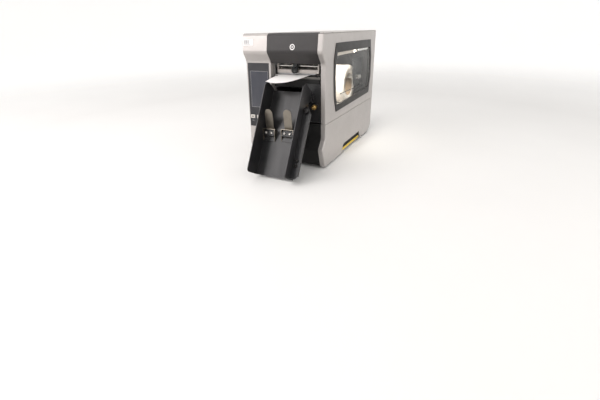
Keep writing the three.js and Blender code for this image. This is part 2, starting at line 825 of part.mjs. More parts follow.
// Stiffening angle on the outside of the chute's right wall, with its flange turned to the right.
const ARM = { top: -56, low: -262, out: 20, back: -6, reach: 23, lip: 8, t: 2 };

function chuteArm() {
  const left = CHUTE.right + 0.3;
  const right = left + ARM.reach;
  const front = -ARM.out - ARM.t;
  const leg = block([left, left + ARM.t], [-ARM.out, -ARM.back], [ARM.low, ARM.top]);
  const face = [
    [left, ARM.low],
    [right - 6, ARM.low],
    [right, ARM.low + 8],
    [right, ARM.top - 14],
    [right - 8, ARM.top],
    [left, ARM.top],
  ];
  const lip = block([right - ARM.t, right], [front, front + ARM.lip], [ARM.low + 8, ARM.top - 14]);
  return join(leg, alongY(face, front, -ARM.out), lip);
}

// A folded stainless stop: a foot on the floor, two gussets, a shelf, and a tongue that leans outward.
function stopFinger({ x, root }) {
  const { step, width, tongue, foot, leafOut, rise, lean, t } = FINGER;
  const half = width / 2;
  const clear = -0.3;
  const base = block([x - half, x + half], [clear - t, clear], [-root - foot, -root]);
  const shelf = block([x - half, x + half], [-step, clear], [-root - t, -root]);
  const gusset = (from) =>
    alongX(
      [
        [clear, -root],
        [-step, -root],
        [-step, -root - 5],
        [clear - t, -root - foot],
        [clear, -root - foot],
      ],
      from,
      from + t,
    );
  const length = Math.hypot(rise, lean);
  const leaf = new THREE.Shape();
  leaf.moveTo(-tongue / 2, 0);
  leaf.lineTo(tongue / 2, 0);
  leaf.lineTo(tongue / 2, length - tongue / 2);
  leaf.absarc(0, length - tongue / 2, tongue / 2, 0, Math.PI, false);
  leaf.closePath();
  const blade = alongY(leaf, -t, 0, 8);
  blade.rotateX(Math.atan2(lean, rise)).translate(x, -leafOut + t, -root - t / 2);
  return join(base, shelf, gusset(x - half), gusset(x + half - t), blade);
}

// Round knob that stands on the angle's flange.
const CLAMP = { x: 100.5, down: 65.5, r: 6.5, height: 8.5 };

function clampKnob() {
  const seat = -ARM.out - ARM.t - 0.3;
  const stem = rodY(seat - 3, seat, CLAMP.x, -CLAMP.down, CLAMP.r - 2, 16);
  return join(stem, rodY(seat - CLAMP.height, seat - 2, CLAMP.x, -CLAMP.down, CLAMP.r, 20));
}

// The fixed bracket behind the chute: a foot on the recess floor, a plate, and two ears for the pivot.
const MOUNT = { x: [-42, 114], y: [13.5, 15.5], z: [SPLIT_Z + 4.4, 228], tall: 258, tallX: 62, foot: 52 };

function chuteMount() {
  const [x0, x1] = MOUNT.x;
  const [z0, z1] = MOUNT.z;
  const face = [
    [x0, z0],
    [x1, z0],
    [x1, MOUNT.tall],
    [MOUNT.tallX + 5, MOUNT.tall],
    [MOUNT.tallX, MOUNT.tall - 5],
    [MOUNT.tallX, z1],
    [x0, z1],
  ];
  const opening = block([x0 + 24, MOUNT.tallX], [MOUNT.y[0] - 1, MOUNT.y[1] + 1], [z0 + 22, z1 - 16]);
  const foot = block([x0 + 3, x1 - 6], [MOUNT.y[0], MOUNT.foot], [z0, z0 + 2]);
  const [y, z] = chutePoint(CHUTE_PIVOT.out, CHUTE_PIVOT.down);
  const side = [
    [MOUNT.y[1], z - 12],
    [MOUNT.y[1], z + 9],
    [y - 9, z + 9],
    [y - 9, z - 6],
    [y - 2, z - 12],
  ].reverse();
  const ear = (x) => cut(alongX(side, x, x + 2), rodX(x - 1, x + 3, y, z, 3.6, 16));
  return join(cut(alongY(face, ...MOUNT.y), opening), foot, ear(CHUTE.left - 3), ear(CHUTE.right + 3));
}

// A point of the chute at rest, (y, z) in the body frame: so far out from its floor and down from its top.
function chutePoint(out, down) {
  const lean = THREE.MathUtils.degToRad(CHUTE.tilt);
  return [
    CHUTE.y - out * Math.cos(lean) - down * Math.sin(lean),
    CHUTE.z + out * Math.sin(lean) - down * Math.cos(lean),
  ];
}

function pivotPin() {
  const [y, z] = chutePoint(CHUTE_PIVOT.out, CHUTE_PIVOT.down);
  const shank = rodX(CHUTE.left - 5, CHUTE.right + 6, y, z, 3, 16);
  const head = rodX(CHUTE.right + 5.3, CHUTE.right + 9, y, z, 6, 6);
  const nut = rodX(CHUTE.left - 7, CHUTE.left - 3.4, y, z, 6, 6);
  return join(shank, head, nut);
}

const THUMB = { x: 101.5, z: 194.5 };

function thumbScrew() {
  const knurl = new THREE.Shape();
  const teeth = 16;
  [...Array(teeth * 2)].forEach((_, i) => {
    const r = i % 2 ? 7.6 : 6.8;
    const a = (Math.PI * i) / teeth;
    knurl[i ? "lineTo" : "moveTo"](THUMB.x + r * Math.cos(a), THUMB.z + r * Math.sin(a));
  });
  knurl.closePath();
  return join(alongY(knurl, -5, 4), rodY(3, MOUNT.y[0] - 0.1, THUMB.x, THUMB.z, 5, 16));
}

// ---- feet -------------------------------------------------------------------------------------
const FOOT = { x: 104, y: [52, 456], r: 16 };

// ---- build ------------------------------------------------------------------------------------
part("base_pan", basePan(), galvanised);
part("centre_wall", centreWall(), aluminium);
part("rear_panel", rearPanel(), blackPaint);
part("left_cover", leftCover(), silver);
part("front_column", frontColumn(), silver);
part("control_bezel", controlBezel(), greyPanel);
part("touch_display", slopingSlab(SCREEN.x, SCREEN.z, [-0.8, 1.7]), screenGlass);
["pause_button", "feed_button", "cancel_button"].forEach((name, i) =>
  part(name, keySlab(KEY.x[i], 0, [-1.8, 1.6]), creamKey),
);
part("usb_port_panel", usbPanel(), blackPlastic);
part("front_lid", frontLid(), blackPlastic);
part("lower_front_cover", lowerFrontCover(), blackPlastic);
part("outlet_surround", outletSurround(), blackPlastic);
part("lower_side_panel", lowerSidePanel(), silver);
part("grip_strip", gripStrip(), amberStrip);
FOOT.y.forEach((y, row) =>
  [-FOOT.x, FOOT.x].forEach((x, column) => {
    const name = ["front", "rear"][row] + ["_left", "_right"][column] + "_foot";
    part(name, rodZ(0, PAN_Z, x, y, FOOT.r, 20), rubber);
  }),
);

part("media_door_top", doorTop(), silver);
part("media_door_side", doorSide(), silver);
part("window_frame", windowFrame(), blackPlastic);
part("window_pane", alongX(windowGlass(-0.3), SIDE - SKIN - 1, SIDE + 0.6), clearPane);
part("door_hinge_rod", rodY(70, DEPTH - 8, DOOR_HINGE.x, DOOR_HINGE.z - 0.2, 1.2, 8), steel);
part("door_fold_rod", rodY(62, DEPTH - 2, FOLD.x, FOLD.z, 1.2, 8), steel);

part("media_hanger", mediaHanger(), steel);
part("media_guide", mediaGuide(), blackPlastic);
part("label_roll", ringX(...MEDIA_X, ROLL.y, ROLL.z, ROLL.core, ROLL.r), paper);
part("label_web", labelWeb(), paper);
part("dancer_arm", dancerArm(), blackPlastic);

part("mechanism_frame", mechFrame(), aluminium);
part("tear_off_bar", tearBar(), steel);
part("platen_shaft", platenShaft(), steel);
part("platen_roller", platenRoller(), rubber);
part("printhead_bracket", headBracket(), brightBar);
part("thermal_printhead", thermalHead(), aluminium);
part("pressure_bar", pressureBar(), steel);
part("pressure_toggle", pressureToggle(), blackPlastic);
part("printhead_lever", headLever(), blackPlastic);

part("ribbon_supply_spindle", spindle(SUPPLY), blackPlastic);
part("ribbon_supply_roll", ringX(-34, 70, SUPPLY.y, SUPPLY.z, SPINDLE_R + 1.4, SUPPLY.r, 32), ribbonFilm);
part("ribbon_takeup_spindle", spindle(TAKEUP), blackPlastic);
part("ribbon_takeup_roll", ringX(-34, 70, TAKEUP.y, TAKEUP.z, SPINDLE_R + 1.4, TAKEUP.r, 32), ribbonFilm);

part("stepper_motor", stepperMotor(), blackPaint);
part("motor_pulley", motorPulley(), steel);
part("drive_belt", driveBelt(), rubber);
part("power_supply", powerSupply(), galvanised);
part("main_logic_board", logicBoard(), boardGreen);
part("power_inlet", powerInlet(), blackPlastic);
part("power_switch", rockerSwitch(), blackPlastic);
part("io_port_block", portBlock(), blackPlastic);

part("chute_mount", chuteMount(), blackPaint);
part("chute_thumb_screw", thumbScrew(), brass);
part("chute_pivot_pin", pivotPin(), steel);
part("chute_tray", chuteTray(), blackPaint, chuteGroup);
part("chute_arm", chuteArm(), blackPaint, chuteGroup);
part("left_stop_finger", stopFinger(FINGERS.left), steel, chuteGroup);
part("right_stop_finger", stopFinger(FINGERS.right), steel, chuteGroup);
part("chute_clamp_knob", clampKnob(), blackPlastic, chuteGroup);

chuteGroup.position.set(0, CHUTE.y, CHUTE.z);
chuteGroup.rotation.x = -THREE.MathUtils.degToRad(CHUTE.tilt);
printer.add(chuteGroup);

// Origin at the middle of the footprint, on the table.
printer.updateMatrixWorld(true);
const extent = new THREE.Box3().setFromObject(printer, true);
const middle = extent.getCenter(new THREE.Vector3());
printer.position.set(-middle.x, -middle.y, -extent.min.z);

export default printer;
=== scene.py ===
# Looks of an industrial label printer with a catch chute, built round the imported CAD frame.
# Body coordinates are millimetres: x 0 is the middle of the body, y 0 its nominal front, z 0 the table.
import math

import bmesh
import bpy
from mathutils import Matrix, Vector


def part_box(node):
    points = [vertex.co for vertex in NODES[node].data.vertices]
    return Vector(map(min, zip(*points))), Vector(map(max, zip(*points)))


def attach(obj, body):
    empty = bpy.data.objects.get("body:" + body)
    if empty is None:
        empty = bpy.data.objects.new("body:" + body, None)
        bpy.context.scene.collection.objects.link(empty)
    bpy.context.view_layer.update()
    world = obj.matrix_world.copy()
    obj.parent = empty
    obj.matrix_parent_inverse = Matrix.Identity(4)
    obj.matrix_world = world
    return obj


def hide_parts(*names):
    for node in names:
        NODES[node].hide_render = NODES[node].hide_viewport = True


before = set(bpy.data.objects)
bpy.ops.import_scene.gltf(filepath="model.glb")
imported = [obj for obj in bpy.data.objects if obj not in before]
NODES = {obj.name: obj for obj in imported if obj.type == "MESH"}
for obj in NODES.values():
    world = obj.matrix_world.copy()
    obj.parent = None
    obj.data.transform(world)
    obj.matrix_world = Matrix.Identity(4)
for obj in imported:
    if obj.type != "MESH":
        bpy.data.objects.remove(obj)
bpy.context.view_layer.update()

MM = 0.001
BODY_HALF_WIDTH = 134
BODY_DEPTH = 500
cover_low, cover_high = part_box("left_cover")
ORIGIN = Vector((cover_low.x + BODY_HALF_WIDTH * MM, cover_high.y - BODY_DEPTH * MM, 0))
CHUTE_TILT = math.radians(30)


def at(x, y, z):
    """A point of the body frame, in metres in the row frame."""
    return ORIGIN + Vector((x, y, z)) * MM


def local_box(node):
    """A CAD node's lowest and highest corner in body coordinates, in millimetres."""
    low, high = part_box(node)
    return (low - ORIGIN) / MM, (high - ORIGIN) / MM


# ---- shader helpers ---------------------------------------------------------------------------
class Shader:
    """A node tree with one Principled shader, and short calls for the usual nodes."""

    def __init__(self, name):
        self.material = bpy.data.materials.new(name)
        self.material.use_nodes = True
        self.tree = self.material.node_tree
        self.surface = self.tree.nodes["Principled BSDF"]
        self.coordinates = self.tree.nodes.new("ShaderNodeTexCoord").outputs["Object"]

    def add(self, kind, **settings):
        node = self.tree.nodes.new(kind)
        for key, value in settings.items():
            setattr(node, key, value)
        return node

    def link(self, output, socket):
        self.tree.links.new(output, socket)

    def stretched(self, scale):
        mapping = self.add("ShaderNodeMapping")
        self.link(self.coordinates, mapping.inputs["Vector"])
        mapping.inputs["Scale"].default_value = scale
        return mapping.outputs["Vector"]

    def noise(self, scale, detail=3.0, roughness=0.5, stretch=None):
        node = self.add("ShaderNodeTexNoise")
        self.link(self.stretched(stretch) if stretch else self.coordinates, node.inputs["Vector"])
        node.inputs["Scale"].default_value = scale
        node.inputs["Detail"].default_value = detail
        node.inputs["Roughness"].default_value = roughness
        return node.outputs["Fac"]

    def cells(self, scale, output="Distance"):
        node = self.add("ShaderNodeTexVoronoi")
        self.link(self.coordinates, node.inputs["Vector"])
        node.inputs["Scale"].default_value = scale
        return node.outputs[output]

    def remap(self, value, low, high, to_low, to_high):
        node = self.add("ShaderNodeMapRange")
        self.link(value, node.inputs["Value"])
        node.inputs["From Min"].default_value = low
        node.inputs["From Max"].default_value = high
        node.inputs["To Min"].default_value = to_low
        node.inputs["To Max"].default_value = to_high
        return node.outputs["Result"]

    def math(self, operation, first, second):
        node = self.add("ShaderNodeMath", operation=operation)
        for socket, value in zip(node.inputs, (first, second)):
            if isinstance(value, (int, float)):
                socket.default_value = value
            else:
                self.link(value, socket)
        return node.outputs["Value"]

    def blend(self, fac, first, second):
        node = self.add("ShaderNodeMix", data_type="RGBA")
        self.link(fac, node.inputs["Factor"])
        for socket, value in ((node.inputs[6], first), (node.inputs[7], second)):
            if isinstance(value, tuple):
                socket.default_value = (*value, 1)
            else:
                self.link(value, socket)
        return node.outputs[2]

    def colour(self, value):
        socket = self.surface.inputs["Base Color"]
        if isinstance(value, tuple):
            socket.default_value = (*value, 1)
        else:
            self.link(value, socket)

    def set(self, **values):
        for key, value in values.items():
            socket = self.surface.inputs[key.replace("_", " ")]
            if isinstance(value, (int, float)):
                socket.default_value = value
            else:
                self.link(value, socket)

    def bump(self, height, strength, distance_mm):
        node = self.add("ShaderNodeBump")
        node.inputs["Strength"].default_value = strength
        node.inputs["Distance"].default_value = distance_mm * MM
        previous = self.surface.inputs["Normal"]
        if previous.is_linked:
            self.link(previous.links[0].from_socket, node.inputs["Normal"])
        self.link(height, node.inputs["Height"])
        self.link(node.outputs["Normal"], previous)

    def worn_edges(self, radius_mm):
        """About 0 on flat ground and 1 along convex or concave edges."""
        rounded = self.add("ShaderNodeBevel", samples=6)
        rounded.inputs["Radius"].default_value = radius_mm * MM
        plain = self.add("ShaderNodeNewGeometry")
        dot = self.add("ShaderNodeVectorMath", operation="DOT_PRODUCT")
        self.link(rounded.outputs["Normal"], dot.inputs[0])
        self.link(plain.outputs["Normal"], dot.inputs[1])
        return self.remap(dot.outputs["Value"], 0.995, 0.90, 0, 1)


# ---- materials --------------------------------------------------------------------------------
def silver_paint():
    s = Shader("silver_paint")
    flake = s.noise(2600, 2)
    drift = s.noise(9, 4)
    grime = s.noise(38, 5, 0.65)
    base = s.blend(s.remap(drift, 0.35, 0.65, 0, 1), (0.40, 0.375, 0.36), (0.435, 0.41, 0.395))
    sparkled = s.blend(s.remap(flake, 0.58, 0.72, 0, 0.35), base, (0.62, 0.60, 0.58))
    s.colour(s.blend(s.remap(grime, 0.60, 0.78, 0, 0.16), sparkled, (0.22, 0.20, 0.18)))
    s.set(Metallic=0.45, Roughness=s.remap(grime, 0.3, 0.75, 0.36, 0.48))
    s.set(Coat_Weight=0.12, Coat_Roughness=0.25)
    s.bump(s.noise(900, 2), 0.12, 0.05)
    return s.material


def moulded_plastic(name, base, roughness, grain, specular):
    s = Shader(name)
    grime = s.noise(30, 5, 0.6)
    speck = s.cells(grain)
    lighter = tuple(c * 1.35 for c in base)
    tinted = s.blend(s.remap(grime, 0.35, 0.75, 0, 1), base, lighter)
    rubbed = tuple(c * 2.2 + 0.01 for c in base)
    s.colour(s.blend(s.math("MULTIPLY", s.worn_edges(0.8), 0.5), tinted, rubbed))
    s.set(Roughness=s.remap(grime, 0.3, 0.8, roughness - 0.05, roughness + 0.08))
    s.set(Specular_IOR_Level=specular)
    s.bump(speck, 0.35, 0.06)
    return s.material


def powder_coat():
    s = Shader("powder_coat")
    dust = s.noise(22, 6, 0.6)
    scuffs = s.noise(60, 4, 0.6, stretch=(1, 0.12, 0.12))
    base = s.blend(s.remap(dust, 0.35, 0.75, 0, 1), (0.014, 0.0142, 0.0152), (0.024, 0.023, 0.024))
    scuffed = s.blend(s.remap(scuffs, 0.62, 0.80, 0, 0.35), base, (0.055, 0.052, 0.05))
    edges = s.math("MULTIPLY", s.worn_edges(0.7), s.remap(s.noise(160, 4), 0.3, 0.6, 0.25, 0.9))
    s.colour(s.blend(edges, scuffed, (0.12, 0.12, 0.125)))
    s.set(Roughness=s.remap(scuffs, 0.3, 0.8, 0.30, 0.42), Specular_IOR_Level=0.42)
    s.bump(s.noise(1100, 2), 0.30, 0.08)
    return s.material


def overlay_panel():
    s = Shader("overlay_panel")
    haze = s.noise(26, 4)
    s.colour(s.blend(s.remap(haze, 0.3, 0.7, 0, 1), (0.022, 0.022, 0.026), (0.030, 0.030, 0.034)))
    s.set(Roughness=s.remap(haze, 0.3, 0.7, 0.34, 0.46), Specular_IOR_Level=0.4)
    s.bump(s.noise(2000, 2), 0.10, 0.03)
    return s.material


def display_glass():
    s = Shader("display_glass")
    smears = s.noise(45, 5, 0.7, stretch=(1, 1, 0.35))
    s.colour(s.blend(s.remap(smears, 0.3, 0.75, 0, 1), (0.024, 0.026, 0.038), (0.036, 0.038, 0.052)))
    s.set(Roughness=s.remap(smears, 0.35, 0.75, 0.14, 0.30), Coat_Weight=0.5, Coat_Roughness=0.08)
    return s.material


def pale_key():
    s = Shader("pale_key")
    grime = s.noise(180, 5, 0.65)
    s.colour(s.blend(s.remap(grime, 0.45, 0.8, 0, 0.5), (0.66, 0.61, 0.57), (0.42, 0.37, 0.33)))
    s.set(Roughness=0.42, Subsurface_Weight=0.04)
    s.bump(s.noise(1500, 2), 0.15, 0.03)
    return s.material


# Flat patchy colour, used for real print and for the painted highlight strips at the window's top edge.
def printed_ink_and_highlight(name, value, roughness=0.5):
    s = Shader(name)
    patch = s.noise(400, 3)
    s.colour(s.blend(s.remap(patch, 0.3, 0.8, 0, 0.3), value, tuple(c * 0.75 for c in value)))
    s.set(Roughness=roughness)
    return s.material


def clear_pane():
    """Open to light, with a mirror reflection that grows towards grazing views."""
    s = Shader("clear_pane")
    s.tree.nodes.remove(s.surface)
    open_part = s.add("ShaderNodeBsdfTransparent")
    open_part.inputs["Color"].default_value = (0.95, 0.955, 0.95, 1)
    mirror = s.add("ShaderNodeBsdfGlossy")
    mirror.inputs["Roughness"].default_value = 0.05
    facing = s.add("ShaderNodeLayerWeight")
    facing.inputs["Blend"].default_value = 0.5
    grazing = s.math("POWER", facing.outputs["Facing"], 5.0)
    share = s.remap(grazing, 0, 1, 0.012, 0.45)
    mix = s.add("ShaderNodeMixShader")
    s.link(share, mix.inputs["Fac"])
    s.link(open_part.outputs["BSDF"], mix.inputs[1])
    s.link(mirror.outputs["BSDF"], mix.inputs[2])
    s.link(mix.outputs["Shader"], s.tree.nodes["Material Output"].inputs["Surface"])
    return s.material


def brushed_metal(name, base, roughness, stretch, metallic=1.0):
    s = Shader(name)
    lines = s.noise(260, 4, 0.7, stretch=stretch)
    stain = s.noise(55, 4, 0.6)
    darker = tuple(c * 0.72 for c in base)
    s.colour(s.blend(s.remap(stain, 0.45, 0.8, 0, 0.6), base, darker))
    s.set(Metallic=metallic, Roughness=s.remap(lines, 0.3, 0.7, roughness - 0.07, roughness + 0.09))
    s.bump(lines, 0.25, 0.04)
    return s.material


def turned_brass():
    s = Shader("turned_brass")
    tarnish = s.noise(300, 5, 0.65)
    s.colour(s.blend(s.remap(tarnish, 0.4, 0.75, 0, 0.75), (0.72, 0.48, 0.18), (0.36, 0.22, 0.09)))
    s.set(Metallic=1.0, Roughness=s.remap(tarnish, 0.3, 0.75, 0.20, 0.38))
    s.bump(s.noise(900, 3), 0.2, 0.04)
    return s.material


def label_paper():
    s = Shader("label_paper")
    fibre = s.noise(1600, 4, 0.7, stretch=(1, 0.4, 1))
    s.colour(s.blend(s.remap(fibre, 0.35, 0.7, 0, 0.25), (0.84, 0.81, 0.79), (0.72, 0.69, 0.66)))
    s.set(Roughness=0.55, Subsurface_Weight=0.05)
    s.bump(fibre, 0.12, 0.03)
    return s.material


def wound_edge(name, light, dark, roughness, turns_per_mm, sheen=0.0):
    """Concentric layers about the roll's own axis, from a distance in the y-z plane."""
    s = Shader(name)
    s.set(Roughness=roughness)
    separate = s.add("ShaderNodeSeparateXYZ")
    s.link(s.coordinates, separate.inputs["Vector"])
    y2 = s.math("POWER", separate.outputs["Y"], 2.0)
    z2 = s.math("POWER", separate.outputs["Z"], 2.0)
    radius = s.math("SQRT", s.math("ADD", y2, z2), 0.0)
    rings = s.math("SINE", s.math("MULTIPLY", radius, turns_per_mm * 1000 * 2 * math.pi), 0.0)
    uneven = s.noise(40, 4)
    tone = s.math("ADD", s.math("MULTIPLY", rings, 0.25), uneven)
    s.colour(s.blend(s.remap(tone, 0.2, 0.85, 0, 1), light, dark))
    s.bump(rings, 0.2, 0.1)
    s.set(Coat_Weight=sheen)
    return s.material


def soft_rubber():
    s = Shader("soft_rubber")
    dust = s.noise(120, 5, 0.6)
    s.colour(s.blend(s.remap(dust, 0.4, 0.8, 0, 1), (0.016, 0.016, 0.017), (0.050, 0.048, 0.046)))
    s.set(Roughness=0.72)
    s.bump(s.noise(700, 3), 0.3, 0.1)
    return s.material


def zinc_sheet():
    s = Shader("zinc_sheet")
    spangle = s.cells(70, "Color")
    grey = s.add("ShaderNodeRGBToBW")
    s.link(spangle, grey.inputs["Color"])
    s.colour(s.blend(grey.outputs["Val"], (0.42, 0.43, 0.44), (0.58, 0.59, 0.60)))
    s.set(Metallic=0.9, Roughness=s.remap(grey.outputs["Val"], 0, 1, 0.34, 0.50))
    return s.material


def board_mask():
    s = Shader("board_mask")
    brick = s.add("ShaderNodeTexBrick", offset=0.37)
    s.link(s.stretched((0, 1, 1)), brick.inputs["Vector"])
    brick.inputs["Scale"].default_value = 140
    brick.inputs["Mortar Size"].default_value = 0.03
    s.colour(s.blend(brick.outputs["Fac"], (0.012, 0.11, 0.045), (0.03, 0.20, 0.09)))
    s.set(Roughness=0.35)
    return s.material


def amber_foam():
    s = Shader("amber_foam")
    pores = s.cells(900)
    s.colour(s.blend(s.remap(pores, 0, 0.6, 0, 1), (0.80, 0.60, 0.10), (0.62, 0.43, 0.05)))
    s.set(Roughness=0.75)
    s.bump(pores, 0.4, 0.15)
    return s.material


def cardboard():
    s = Shader("cardboard")
    fibre = s.noise(500, 5, 0.7, stretch=(0.3, 1, 1))
    s.colour(s.blend(s.remap(fibre, 0.3, 0.7, 0, 1), (0.36, 0.25, 0.15), (0.46, 0.34, 0.22)))
    s.set(Roughness=0.85)
    s.bump(fibre, 0.3, 0.1)
    return s.material


# Near-black colour painted where there is only shade: inside the side notch and in the rear vent slots.
def dark_shadow_gap():
    s = Shader("painted_gap_shade")
    s.colour((0.006, 0.006, 0.006))
    s.set(Roughness=s.remap(s.noise(300), 0.3, 0.7, 0.8, 0.95))
    return s.material


MATERIAL = {
    "silver": silver_paint(),
    "charcoal": moulded_plastic("charcoal_plastic", (0.026, 0.0235, 0.0235), 0.44, 1400, 0.35),
    # dark_plastic_and_painted_shade is a darker copy of the charcoal plastic; on the lower front cover its
    # extra darkness is painted shade for faces that get little light.
    "dark": moulded_plastic("dark_plastic_and_painted_shade", (0.012, 0.0117, 0.0115), 0.50, 1400, 0.20),
    "black": moulded_plastic("black_plastic", (0.009, 0.009, 0.0095), 0.38, 1800, 0.40),
    "glossy": moulded_plastic("glossy_black", (0.015, 0.0135, 0.013), 0.34, 2400, 0.16),
    "powder": powder_coat(),
    "overlay": overlay_panel(),
    "screen": display_glass(),
    "key": pale_key(),
    "white_ink_and_highlight": printed_ink_and_highlight("white_ink_and_highlight", (0.80, 0.78, 0.77)),
    "cream_highlight": printed_ink_and_highlight("cream_highlight", (0.62, 0.55, 0.48)),
    "grey_ink": printed_ink_and_highlight("grey_ink", (0.33, 0.33, 0.34)),
    "dark_ink": printed_ink_and_highlight("dark_ink", (0.03, 0.03, 0.034)),
    "pane": clear_pane(),
    "steel": brushed_metal("bright_steel", (0.55, 0.53, 0.50), 0.28, (0.04, 1, 1)),
    "blade": brushed_metal("dark_blade", (0.13, 0.125, 0.12), 0.42, (0.04, 1, 1)),
    "finger": brushed_metal("stainless_spring", (0.25, 0.225, 0.19), 0.36, (1, 0.06, 0.06)),
    "pale_bar": brushed_metal("pale_anodised", (0.42, 0.385, 0.36), 0.40, (0.03, 1, 1), 0.5),
    "brass": turned_brass(),
    "paper": label_paper(),
    "roll": wound_edge("roll_edge", (0.88, 0.84, 0.79), (0.72, 0.66, 0.59), 0.6, 0.35),
    "film": wound_edge("ribbon_film", (0.012, 0.012, 0.014), (0.03, 0.03, 0.034), 0.22, 0.8, 0.6),
    "rubber": soft_rubber(),
    "aluminium": brushed_metal("mill_aluminium", (0.34, 0.34, 0.345), 0.42, (1, 0.05, 1)),
    "zinc": zinc_sheet(),
    "board": board_mask(),
    "amber": amber_foam(),
    "card": cardboard(),
    "painted_shade": dark_shadow_gap(),
}


# ---- geometry helpers -------------------------------------------------------------------------
def place(name, mesh, material, body, pivot=None, smooth=True):
    """Links a mesh as a piece that rides on a body; a pivot becomes the piece's own origin."""
    obj = bpy.data.objects.new(name, mesh)
    if pivot:
        mesh.transform(Matrix.Translation(-at(*pivot)))
        obj.location = at(*pivot)
    bpy.context.scene.collection.objects.link(obj)
    mesh.materials.append(MATERIAL[material])
    mesh.polygons.foreach_set("use_smooth", [smooth] * len(mesh.polygons))
    bpy.context.view_layer.update()
    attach(obj, body)
    return obj


def round_off(obj, width_mm, segments=2, angle=35):
    """Rounds a piece's sharp edges and evens out its shading."""
    if width_mm:
        bevel = obj.modifiers.new("rounded", "BEVEL")
        bevel.width = width_mm * MM
        bevel.segments = segments
        bevel.limit_method = "ANGLE"
        bevel.angle_limit = math.radians(angle)
        bevel.miter_outer = "MITER_ARC"
    shading = obj.modifiers.new("even_shading", "WEIGHTED_NORMAL")
    shading.keep_sharp = False
    shading.weight = 100
    return obj


def mesh_from(bm, name):
    bmesh.ops.recalc_face_normals(bm, faces=bm.faces)
    mesh = bpy.data.meshes.new(name)
    bm.to_mesh(mesh)
    bm.free()
    return mesh


def prism(name, outline, normal, depth_mm):
    """Extrudes a closed outline of body-frame points along a direction."""
    bm = bmesh.new()
    face = bm.faces.new([bm.verts.new(at(*p)) for p in outline])
    moved = bmesh.ops.extrude_face_region(bm, geom=[face])
    verts = [v for v in moved["geom"] if isinstance(v, bmesh.types.BMVert)]
    bmesh.ops.translate(bm, verts=verts, vec=Vector(normal).normalized() * depth_mm * MM)
    return mesh_from(bm, name)


def turned(name, profile, origin, axis, steps=32):
    """Revolves (radius, along) points in millimetres about an axis through a body-frame point."""
    direction = Vector(axis).normalized()
    side = direction.orthogonal().normalized()
    other = direction.cross(side)
    start = at(*origin)
    bm = bmesh.new()
    rings = []
    for radius, along in profile:
        ring = []
        for i in range(steps):
            a = 2 * math.pi * i / steps
            offset = side * (math.cos(a) * radius) + other * (math.sin(a) * radius)
            ring.append(bm.verts.new(start + (offset + direction * along) * MM))
        rings.append(ring)
    closed = profile[0] == profile[-1]
    if closed:
        for v in rings.pop():
            bm.verts.remove(v)
        rings.append(rings[0])
    for low, high in zip(rings, rings[1:]):
        for i in range(steps):
            j = (i + 1) % steps
            bm.faces.new((low[i], low[j], high[j], high[i]))
    if not closed:
        bm.faces.new(list(reversed(rings[0])))
        bm.faces.new(rings[-1])
    return mesh_from(bm, name)


def box(name, x, y, z, material, body, rounding=0.3):
    outline = [(x[0], y[0], z[0]), (x[1], y[0], z[0]), (x[1], y[1], z[0]), (x[0], y[1], z[0])]
    obj = place(name, prism(name, outline, (0, 0, 1), z[1] - z[0]), material, body)
    return round_off(obj, rounding)


def plate(name, outline, normal, thickness, material, body, rounding=0.0):
    obj = place(name, prism(name, outline, normal, thickness), material, body)
    return round_off(obj, rounding)


def screw(name, origin, axis, radius, height, material, body):
    """A dome-headed screw with a round socket."""
    profile = [
        (radius, 0),
        (radius, height * 0.35),
        (radius * 0.93, height * 0.72),
        (radius * 0.72, height * 0.93),
        (radius * 0.50, height),
        (radius * 0.46, height * 0.98),
        (radius * 0.44, height * 0.45),
    ]
    return place(name, turned(name, profile, origin, axis, 28), material, body)


def soft_corner(obj, inside, width_mm):
    """Rounds the edges whose two ends pass a test, in body coordinates, more than the rest."""
    group = obj.vertex_groups.new(name="soft_corner")
    world = obj.matrix_world
    chosen = [v.index for v in obj.data.vertices if inside(*((world @ v.co - ORIGIN) / MM))]
    group.add(chosen, 1.0, "REPLACE")
    bevel = obj.modifiers.new("soft_corner", "BEVEL")
    bevel.width = width_mm * MM
    bevel.segments = 5
    bevel.limit_method = "VGROUP"
    bevel.vertex_group = group.name
    bevel.use_clamp_overlap = False


def finish_node(node, material, bevel_mm, corner=None):
    """Gives a CAD node its material and rounded edges; its own mesh stays as it came."""
    obj = NODES[node]
    mesh = obj.data
    mesh.materials.clear()
    mesh.materials.append(MATERIAL[material])
    if "custom_normal" in mesh.attributes:
        mesh.attributes.remove(mesh.attributes["custom_normal"])
    mesh.polygons.foreach_set("use_smooth", [True] * len(mesh.polygons))
    weld = obj.modifiers.new("weld", "WELD")
    weld.merge_threshold = 0.00002
    if node not in PIERCED:
        flat = obj.modifiers.new("flat_faces", "DECIMATE")
        flat.decimate_type = "DISSOLVE"
        flat.angle_limit = math.radians(1)
    if corner:
        soft_corner(obj, *corner)
    round_off(obj, bevel_mm)


# ---- camera, light and floor ------------------------------------------------------------------
CAMERA = {"place": (533.1, -924.4, 406.26), "yaw": 26.605, "pitch": 26.69, "roll": -1.25}
SENSOR = 36
FOCAL_SHARE = 337.11 / 600  # focal length over the picture's width
SHIFT = (-0.0116, -0.0042)


def make_camera():
    yaw = math.radians(CAMERA["yaw"])
    pitch = math.radians(CAMERA["pitch"])
    roll = math.radians(CAMERA["roll"])
    forward = Vector((-math.sin(yaw) * math.cos(pitch), math.cos(yaw) * math.cos(pitch), -math.sin(pitch)))
    right = Vector((math.cos(yaw), math.sin(yaw), 0))
    up = right.cross(forward)
    turned_right = right * math.cos(roll) + up * math.sin(roll)
    turned_up = up * math.cos(roll) - right * math.sin(roll)
    data = bpy.data.cameras.new("camera")
    data.sensor_width = SENSOR
    data.lens = SENSOR * FOCAL_SHARE
    data.shift_x, data.shift_y = SHIFT
    data.clip_start, data.clip_end = 0.05, 50
    camera = bpy.data.objects.new("camera", data)
    basis = Matrix((turned_right, turned_up, -forward)).transposed().to_4x4()
    basis.translation = at(*CAMERA["place"])
    camera.matrix_world = basis
    bpy.context.scene.collection.objects.link(camera)
    bpy.context.scene.camera = camera


